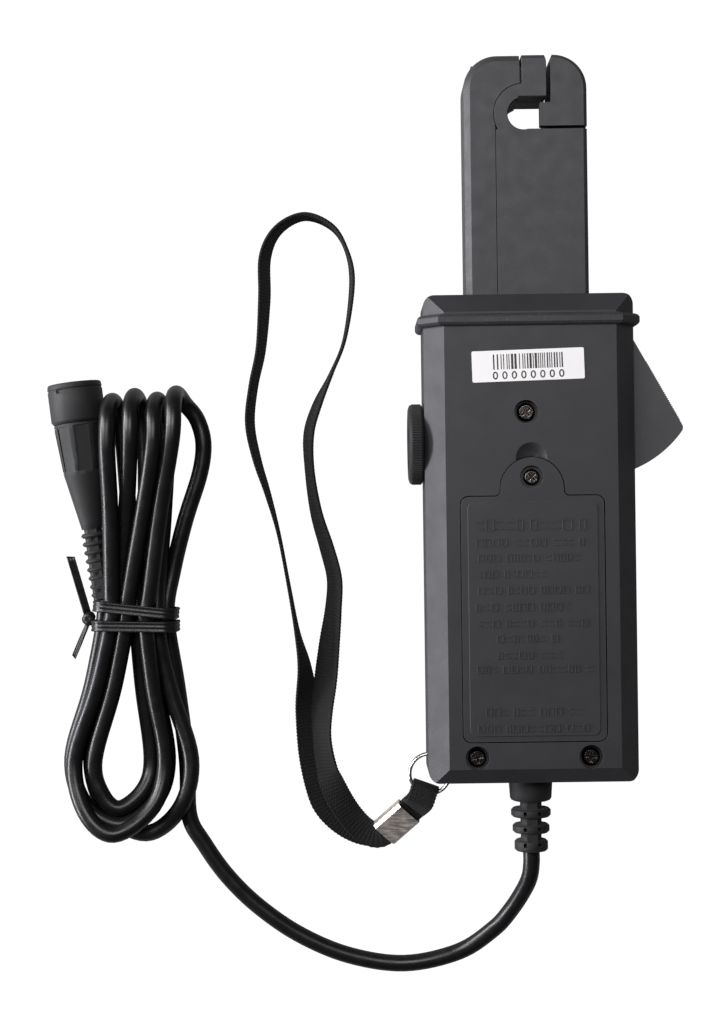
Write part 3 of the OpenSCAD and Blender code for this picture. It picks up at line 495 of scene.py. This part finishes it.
def evenly(path, sides, step):
    """The path and its side vectors again, at an even spacing of about step."""
    run = lengths(path)
    count = max(2, round(run[-1] / step))
    spots, vectors, i = [], [], 0
    for k in range(count + 1):
        s = run[-1] * k / count
        while i < len(run) - 2 and run[i + 1] < s:
            i += 1
        t = (s - run[i]) / max(run[i + 1] - run[i], 1e-9)
        spots.append(path[i].lerp(path[i + 1], t))
        vectors.append(sides[i].lerp(sides[i + 1], t))
    return spots, vectors


def skin(name, rings, closed=False, smooth=True, run=None, side=None):
    """One mesh through rings of equally many points, capped at the ends or closed on itself."""
    count = len(rings[0])
    verts = [p for ring in rings for p in ring]
    faces = []
    for i in range(len(rings) if closed else len(rings) - 1):
        a, b = i * count, (i + 1) % len(rings) * count
        faces += [(a + j, a + (j + 1) % count, b + (j + 1) % count, b + j) for j in range(count)]
    if not closed:
        faces += [tuple(reversed(range(count))), tuple(range(len(verts) - count, len(verts)))]
    mesh = bpy.data.meshes.new(name)
    mesh.from_pydata(verts, [], faces)
    if run:
        values = [r for r in run for _ in range(count)]
        mesh.attributes.new("run", "FLOAT", "POINT").data.foreach_set("value", values)
        values = [s for _ in rings for s in side]
        mesh.attributes.new("side", "FLOAT", "POINT").data.foreach_set("value", values)
    check = bmesh.new()
    check.from_mesh(mesh)
    bmesh.ops.recalc_face_normals(check, faces=check.faces)
    check.to_mesh(mesh)
    check.free()
    mesh.polygons.foreach_set("use_smooth", [smooth] * len(mesh.polygons))
    o = bpy.data.objects.new(name, mesh)
    bpy.context.scene.collection.objects.link(o)
    return o


def finish_piece(o, slot, body, *stands_for):
    """Gives a new piece its material and its body, and hides the CAD nodes that it stands for."""
    o.data.materials.clear()
    o.data.materials.append(finish[slot])
    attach(o, body)
    if stands_for:
        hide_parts(*stands_for)
    return o


def tube(name, path, radius, count):
    """Round tube whose ring turns with the path without twisting."""
    headings = directions(path)
    out = headings[0].orthogonal().normalized()
    rings = []
    for i, (spot, heading) in enumerate(zip(path, headings)):
        if i:
            out = headings[i - 1].rotation_difference(heading) @ out
        across = heading.cross(out)
        angles = [2 * math.pi * k / count for k in range(count)]
        rings.append([spot + radius * (math.cos(a) * out + math.sin(a) * across) for a in angles])
    return skin(name, rings)


# The sheath's size against the CAD tube, which keeps clear of itself where turns touch
SHEATH = 1.13
# Sides of the CAD cable's tube, and where the cable starts inside the case
CABLE_SIDES = 8
CABLE_START_Y = -0.2


def cable():
    """The output cable, round where the CAD tube has flat sides."""
    relief_low, relief_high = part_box("strain_relief")
    start = Vector(((relief_low.x + relief_high.x) / 2, CABLE_START_Y, 0))
    rings = rings_of("cable", CABLE_SIDES, start)
    radius = (rings[0][0] - centre(rings[0])).length * SHEATH
    path = spline([centre(ring) for ring in rings], 2)
    return finish_piece(tube("cable_sheath", path, radius, 24), "cable_pvc", "case", "cable")


def ribbon_frame(ring, before):
    """Centre, half-width and half-thickness vectors of a four-cornered ring."""
    corner = ring[0]
    others = sorted(ring[1:], key=lambda p: (p - corner).length)
    half_thick = (corner - others[0]) / 2
    half_wide = (corner - others[1]) / 2
    if before:
        half_wide = half_wide if half_wide.dot(before[1]) > 0 else -half_wide
        half_thick = half_thick if half_thick.dot(before[2]) > 0 else -half_thick
    return centre(ring), half_wide, half_thick


def webbing_profile(rib):
    """Half widths and half thicknesses round the band, as shares; rib swings from -1 to 1."""
    edge = 1 + 0.022 * rib
    cord = 0.95 + 0.05 * rib
    shoulder = 0.78 + 0.12 * rib
    face = 0.8 + 0.14 * rib
    upper = [
        (-edge, 0.0), (-0.985 * edge, 0.62), (-0.93, cord), (-0.86, 0.72), (-0.8, shoulder),
        (-0.4, face), (0, face), (0.4, face),
        (0.8, shoulder), (0.86, 0.72), (0.93, cord), (0.985 * edge, 0.62),
    ]
    lower = [(-x, -y) for x, y in upper]
    return upper + lower


# Steps in one redrawn bend of the strap
BEND_STEPS = 14


def eased(frames, first, last, lean):
    """Frames with those between first and last redrawn as one smooth Bezier bend on the table."""
    a, b = frames[first], frames[last]
    into = (a[0] - frames[first - 1][0]).normalized()
    out = (frames[last + 1][0] - b[0]).normalized()
    reach = (b[0] - a[0]).length / 3
    points = (a[0], a[0] + into * reach, b[0] - out * reach, b[0])
    bend = []
    for k in range(1, BEND_STEPS):
        t = k / BEND_STEPS
        shares = ((1 - t) ** 3, 3 * t * (1 - t) ** 2, 3 * t * t * (1 - t), t ** 3)
        slopes = ((1 - t) ** 2, 2 * t * (1 - t), t * t)
        spot = sum((p * share for p, share in zip(points, shares)), Vector())
        steps = [q - p for p, q in zip(points, points[1:])]
        heading = sum((d * share for d, share in zip(steps, slopes)), Vector()).normalized()
        wide = Quaternion(heading, math.radians(lean * math.sin(math.pi * t))) @ a[1].lerp(b[1], t)
        wide = (wide - heading * wide.dot(heading)).normalized() * a[1].length
        thick = heading.cross(wide).normalized() * a[2].length
        thick = thick if thick.dot(a[2].lerp(b[2], t)) > 0 else -thick
        spot.z = max(spot.z, cad_box[0].z + abs(wide.z) + abs(thick.z))
        bend.append((spot, wide, thick))
    return frames[:first + 1] + bend + frames[last:]


def woven_band(name, node, start, body, bends=()):
    """Ribbed webbing with corded selvedges along a CAD ribbon."""
    frames = []
    for ring in rings_of(node, RIBBON, start):
        frames.append(ribbon_frame(ring, frames[-1] if frames else None))
    for first, last, lean in bends:
        frames = eased(frames, first % len(frames), last % len(frames), lean)
    path = [f[0] for f in frames]
    spots, wide = evenly(spline(path, 3), spline([f[1] for f in frames], 3), RIB_PITCH / 4)
    _, thick = evenly(spline(path, 3), spline([f[2] for f in frames], 3), RIB_PITCH / 4)
    run = lengths(spots)
    rings = []
    for spot, w, t, s in zip(spots, wide, thick, run):
        rib = math.cos(2 * math.pi * s / RIB_PITCH)
        rings.append([spot + w * x + t * y for x, y in webbing_profile(rib)])
    half = frames[0][1].length
    side = [x * half for x, _ in webbing_profile(0)]
    return finish_piece(skin(name, rings, run=run, side=side), "webbing", body, node)


# Sides of the return spring's CAD wire
SPRING_SIDES = 6


def coil_spring():
    """Round wire along the CAD spring."""
    low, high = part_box("return_spring")
    start = Vector((low.x, high.y, (low.z + high.z) / 2))
    rings = rings_of("return_spring", SPRING_SIDES, start)
    path = spline([centre(ring) for ring in rings], 2)
    radius = (rings[2][0] - centre(rings[2])).length
    wire = finish_piece(tube("spring_wire", path, radius, 10), "steel", "case", "return_spring")
    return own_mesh(wire)


# The strap's two stretches beside the crimp that are redrawn: the CAD rings that each one starts and
# ends on, counted from either end of the strap, and how many degrees the webbing leans over between
STRAP_BENDS = [(-26, -4, 0), (3, 25, 60)]


def lanyard():
    """The wrist strap and its short loop through the split ring, both held by the crimp."""
    crimp_mid = centre(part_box("strap_crimp"))
    woven_band("strap_webbing", "wrist_strap", crimp_mid, "lanyard", STRAP_BENDS)
    woven_band("ring_webbing", "ring_loop", crimp_mid, "lanyard")


cable()
lanyard()


# ---------- marks ----------


def add_bar(mesh, spot, size, top_inset=0.0):
    """A low raised bar: spot is the centre of its base, size its width, length and height."""
    corners = []
    for z, inset in ((0, 0), (size[2], top_inset)):
        for sx, sy in ((-1, -1), (1, -1), (1, 1), (-1, 1)):
            offset = Vector((sx * (size[0] / 2 - inset), sy * (size[1] / 2 - inset), z))
            corners.append(mesh.verts.new(spot + offset))
    a, b = corners[:4], corners[4:]
    mesh.faces.new(list(reversed(a)))
    mesh.faces.new(b)
    for i in range(4):
        j = (i + 1) % 4
        mesh.faces.new((a[i], a[j], b[j], b[i]))


def mesh_piece(name, mesh):
    """An object that takes over a bmesh."""
    data = bpy.data.meshes.new(name)
    mesh.to_mesh(data)
    mesh.free()
    o = bpy.data.objects.new(name, data)
    bpy.context.scene.collection.objects.link(o)
    return o


# Rows of marks, in mm: distance below the panel's top, left and right end from its centre, height
NOTE_ROWS = [
    (7.3, -18.1, 17.3, 3.6), (12.8, -17.9, 17.3, 2.5), (17.6, -17.3, 17.2, 2.4),
    (22.7, -17.4, 3.6, 2.4), (27.8, -17.5, 16.4, 2.4), (33.1, -18.2, 10.7, 2.6),
    (38.2, -17.6, 18.2, 2.4), (43.0, -11.7, 8.7, 2.4), (48.2, -11.5, 11.5, 2.4),
    (52.6, -18.1, 17.7, 2.4), (66.0, -15.5, 15.9, 2.6), (71.2, -18.0, 17.4, 2.4),
]
# Width, height and edge taper of a mark's strokes, in mm
STROKE = 0.36
RISE = 0.26
TAPER = 0.07
# Height of the cover's tongue above its panel, the marks' roots inside the panel, and their gaps, in mm
TONGUE = 14.0
ROOT = 0.03
MARK_GAP = 0.55
WORD_GAP = 1.5
# A row ends where less than this is left of it, in mm
SHORTEST = 1.2


def frame_mark(mesh, x, y, z, w, h):
    """A small raised rectangular outline."""
    for sx in (-1, 1):
        spot = Vector((x + sx * (w - STROKE) / 2, y, z)) * MM
        add_bar(mesh, spot, Vector((STROKE, h, RISE)) * MM, TAPER * MM)
    for sy in (-1, 1):
        spot = Vector((x, y + sy * (h - STROKE) / 2, z)) * MM
        add_bar(mesh, spot, Vector((w - 2 * STROKE, STROKE, RISE)) * MM, TAPER * MM)


def dash_mark(mesh, x, y, z, w, h):
    """Two short raised dashes, one above the other."""
    for share in (-0.3, 0.3):
        spot = Vector((x, y + h * share, z)) * MM
        add_bar(mesh, spot, Vector((w, STROKE + 0.08, RISE)) * MM, TAPER * MM)


def note_panel():
    """Rows of blank raised marks where a battery door carries its moulded notes."""
    low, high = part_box("battery_cover")
    mid = (low.x + high.x) / 2 / MM
    panel_top = high.y / MM - TONGUE
    z = high.z / MM - ROOT
    mesh = bmesh.new()
    rng = random.Random(11)
    for drop, left, right, height in NOTE_ROWS:
        x = mid + left
        y = panel_top - drop
        word = 0
        while x < mid + right - SHORTEST:
            width = rng.choice((1.5, 1.9, 2.2)) * height / 2.5
            mark = frame_mark if rng.random() < 0.6 else dash_mark
            mark(mesh, x + width / 2, y, z, width, height)
            x += width + MARK_GAP
            word += 1
            if word > rng.choice((2, 4, 5, 6)):
                x += WORD_GAP
                word = 0
    return finish_piece(mesh_piece("cover_marks", mesh), "case_plastic", "battery_door")


# The label's print, in mm and degrees from the label's middle
LABEL_TILT = 1.5
INK_ROOT = -0.005
INK_RISE = 0.02
STRIPES_LEFT, STRIPES_RIGHT = -11.0, 11.2
STRIPES_Y, STRIPES_TALL = 1.3, 4.8
RINGS_LEFT, RINGS_PITCH, RINGS_Y = -10.4, 2.98, -2.95


def label_print():
    """Generic stripes above a row of plain rings."""
    low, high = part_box("serial_label")
    mid = (low + high) / 2
    place = Matrix.Translation((mid.x, mid.y, high.z))
    tilt = Matrix.Rotation(math.radians(LABEL_TILT), 4, "Z")
    mesh = bmesh.new()
    rng = random.Random(5)
    x = STRIPES_LEFT
    while x < STRIPES_RIGHT:
        w = rng.choice((0.3, 0.3, 0.45, 0.7))
        spot = Vector((x + w / 2, STRIPES_Y, INK_ROOT)) * MM
        add_bar(mesh, spot, Vector((w, STRIPES_TALL, INK_RISE)) * MM)
        x += w + rng.choice((0.34, 0.5, 0.75))
    for k in range(8):
        ring_mark(mesh, Vector((RINGS_LEFT + RINGS_PITCH * k, RINGS_Y, INK_ROOT)) * MM)
    mesh.transform(place @ tilt)
    o = mesh_piece("label_print", mesh)
    o.data.materials.append(ink())
    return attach(o, "case")


def ring_mark(mesh, spot):
    """A flat upright oval ring, from its outer to its inner outline."""
    count = 20
    outer, inner = (0.85, 1.25), (0.42, 0.82)
    loops = []
    for (w, h), z in ((outer, 0), (outer, INK_RISE), (inner, INK_RISE), (inner, 0)):
        loop = []
        for k in range(count):
            a = 2 * math.pi * k / count
            loop.append(mesh.verts.new(spot + Vector((w * math.cos(a), h * math.sin(a), z)) * MM))
        loops.append(loop)
    for loop, after in zip(loops, loops[1:] + loops[:1]):
        for k in range(count):
            j = (k + 1) % count
            mesh.faces.new((loop[k], loop[j], after[j], after[k]))


note_panel()
label_print()


# ---------- twist tie ----------

# Sizes of the tie, in mm: its width, its thickness and the radius of its turns round the bundle
BAND_W = 3.5
BAND_T = 0.9
TURN_R = 5


def band_profile():
    """Outline of the flat tie: a wired ridge along each edge and one down the middle."""
    left = [(-0.5, 0.1), (-0.47, 0.42), (-0.38, 0.5), (-0.27, 0.36), (-0.18, 0.2), (-0.09, 0.36)]
    right = [(-x, y) for x, y in reversed(left)]
    bottom = [(0.5, -0.3), (0.4, -0.5), (-0.4, -0.5), (-0.5, -0.3)]
    return left + [(0, 0.42)] + right + bottom


def wrap(name, mid, half_w, low, high, tilt):
    """One closed turn of the tie round the bundle, outside up."""
    corner = TURN_R - BAND_T / 2
    w = half_w - BAND_T / 2
    h = (high - low - BAND_T) / 2
    middle = (high + low) / 2
    path, outward = [], []
    for quarter, (sx, sz) in enumerate(((1, 1), (-1, 1), (-1, -1), (1, -1))):
        for k in range(9):
            a = math.radians(90 * quarter + 90 * k / 8)
            out = Vector((math.cos(a), 0, math.sin(a)))
            path.append(Vector((sx * (w - corner), 0, middle + sz * (h - corner))) + out * corner)
            outward.append(out)
    turn = Matrix.Rotation(math.radians(tilt), 3, "Z")
    rings = []
    for spot, out in zip(path, outward):
        wave = 0.12 * math.sin(spot.x * 0.45)
        ring = []
        for x, y in band_profile():
            p = spot + out * (y * BAND_T) + Vector((0, x * BAND_W + wave, 0))
            ring.append((turn @ p + mid) * MM)
        rings.append(ring)
    return skin(name, rings, closed=True)


def tie_tail(name, root, heading, length, width, flat):
    """A cut end of the tie: it leaves the knot twisted and ends in a slanted cut."""
    a = math.radians(heading)
    along = Vector((math.cos(a), math.sin(a), 0.1)).normalized()
    rings = []
    count = 12
    for k in range(count + 1):
        s = k / count
        twist = Quaternion(along, math.radians(flat * (1 - s)))
        side = twist @ along.cross(Vector((0, 0, 1))).normalized()
        up = side.cross(along)
        ring = []
        for x, y in band_profile():
            slant = x * 0.8 * max(0, s - 0.8) * 5
            p = root + along * (length * s - slant) + side * (x * width) + up * (y * BAND_T)
            ring.append(p * MM)
        rings.append(ring)
    return skin(name, rings)


def knot_core(name, mid):
    """The tie's twisted middle, swollen between the two wraps."""
    rings = []
    for k in range(11):
        s = -1 + 0.2 * k
        radius = 2.15 * math.sqrt(1 - 0.75 * s * s)
        ring = []
        for j in range(18):
            a = 2 * math.pi * j / 18
            r = radius * (1 + 0.10 * math.sin(3 * a + 4 * s))
            ring.append((mid + Vector((r * math.cos(a), 2.3 * s, r * math.sin(a)))) * MM)
        rings.append(ring)
    return skin(name, rings)


def twist_tie():
    """Two wraps round the bundle just below the plug's boot, with a knot and two tails on its left."""
    low, high = (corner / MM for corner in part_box("twist_tie"))
    boot_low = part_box("plug_boot")[0] / MM
    coil = Vector((high.x - 15.15, boot_low.y - 5.6, 0))
    knot = coil + Vector((-15.0, -0.2, -11))
    pieces = [
        wrap("tie_wrap_upper", coil + Vector((0.9, 2.7, 0)), 13.9, low.z, high.z, -6),
        wrap("tie_wrap_lower", coil + Vector((0.7, -2.6, 0)), 14.2, low.z, high.z - 0.05, -1),
        knot_core("tie_core", knot),
        tie_tail("tie_tail_upper", knot + Vector((-0.4, 1.6, 0.1)), 105, 19.6, 2.6, 35),
        tie_tail("tie_tail_lower", knot + Vector((-0.3, -1.6, -0.1)), 247, 12.0, 1.6, 50),
    ]
    for o in pieces:
        finish_piece(o, "tie_vinyl", "case")
    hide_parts("twist_tie")


twist_tie()
coil_spring()


# ---------- stage ----------


def lit_for_camera(tree, shown, other):
    """A shader that differs for camera rays and for light that bounces."""
    path = tree.nodes.new("ShaderNodeLightPath")
    mixed = tree.nodes.new("ShaderNodeMixShader")
    tree.links.new(path.outputs["Is Camera Ray"], mixed.inputs[0])
    tree.links.new(other, mixed.inputs[1])
    tree.links.new(shown, mixed.inputs[2])
    return mixed.outputs[0]


def floor():
    """A pale floor that the camera sees as white and that gives little light back."""
    size = 4.0
    z = cad_box[0].z - 0.05 * MM
    mesh = bpy.data.meshes.new("floor")
    corners = [(-size, -size, z), (size, -size, z), (size, size, z), (-size, size, z)]
    mesh.from_pydata(corners, [], [(0, 1, 2, 3)])
    o = bpy.data.objects.new("floor", mesh)
    bpy.context.scene.collection.objects.link(o)
    material = bpy.data.materials.new("floor")
    material.use_nodes = True
    tree = material.node_tree
    tree.nodes.clear()
    diffuse = tree.nodes.new("ShaderNodeBsdfDiffuse")
    diffuse.inputs[0].default_value = (0.35, 0.35, 0.35, 1)
    glow = tree.nodes.new("ShaderNodeEmission")
    glow.inputs["Strength"].default_value = 1.06
    paler = tree.nodes.new("ShaderNodeMixShader")
    paler.inputs[0].default_value = 0.97
    tree.links.new(diffuse.outputs[0], paler.inputs[1])
    tree.links.new(glow.outputs[0], paler.inputs[2])
    output = tree.nodes.new("ShaderNodeOutputMaterial")
    tree.links.new(lit_for_camera(tree, paler.outputs[0], diffuse.outputs[0]), output.inputs[0])
    mesh.materials.append(material)


def world():
    """A white background for the camera over dim, slightly cool light."""
    w = bpy.data.worlds.new("studio")
    bpy.context.scene.world = w
    w.use_nodes = True
    tree = w.node_tree
    tree.nodes.clear()
    shown = tree.nodes.new("ShaderNodeBackground")
    shown.inputs[0].default_value = (1, 1, 1, 1)
    other = tree.nodes.new("ShaderNodeBackground")
    other.inputs[0].default_value = (0.93, 0.95, 1, 1)
    other.inputs[1].default_value = 0.07
    output = tree.nodes.new("ShaderNodeOutputWorld")
    tree.links.new(lit_for_camera(tree, shown.outputs[0], other.outputs[0]), output.inputs[0])


def softbox(name, spot, target, size, power, colour=(1, 1, 1)):
    """A rectangular area light at spot, turned towards target."""
    light = bpy.data.lights.new(name, "AREA")
    light.shape = "RECTANGLE"
    light.size, light.size_y = size
    light.energy = power
    light.color = colour
    o = bpy.data.objects.new(name, light)
    o.location = spot
    o.rotation_euler = (Vector(target) - Vector(spot)).to_track_quat("-Z", "Y").to_euler()
    bpy.context.scene.collection.objects.link(o)


def studio():
    """A key light from the upper left, a low strip for the left walls, and a light overhead."""
    middle = (-0.05, -0.13, 0)
    softbox("key", (-0.8, 0.25, 0.6), middle, (0.35, 0.6), 8)
    softbox("rim", (-0.9, -0.1, 0.13), middle, (0.9, 0.16), 11.5, (0.95, 0.96, 1))
    softbox("over", (-0.1, 0.25, 1.0), (-0.03, -0.05, 0), (0.5, 0.4), 4.6)


def camera():
    """The photograph's camera."""
    data = bpy.data.cameras.new("camera")
    data.lens = LENS
    data.sensor_width = 36
    data.clip_start, data.clip_end = 0.01, 20
    o = bpy.data.objects.new("camera", data)
    o.location = EYE
    o.rotation_euler = (0, 0, ROLL)
    bpy.context.scene.collection.objects.link(o)
    bpy.context.scene.camera = o


floor()
world()
studio()
camera()
bpy.context.scene.view_settings.view_transform = "Standard"
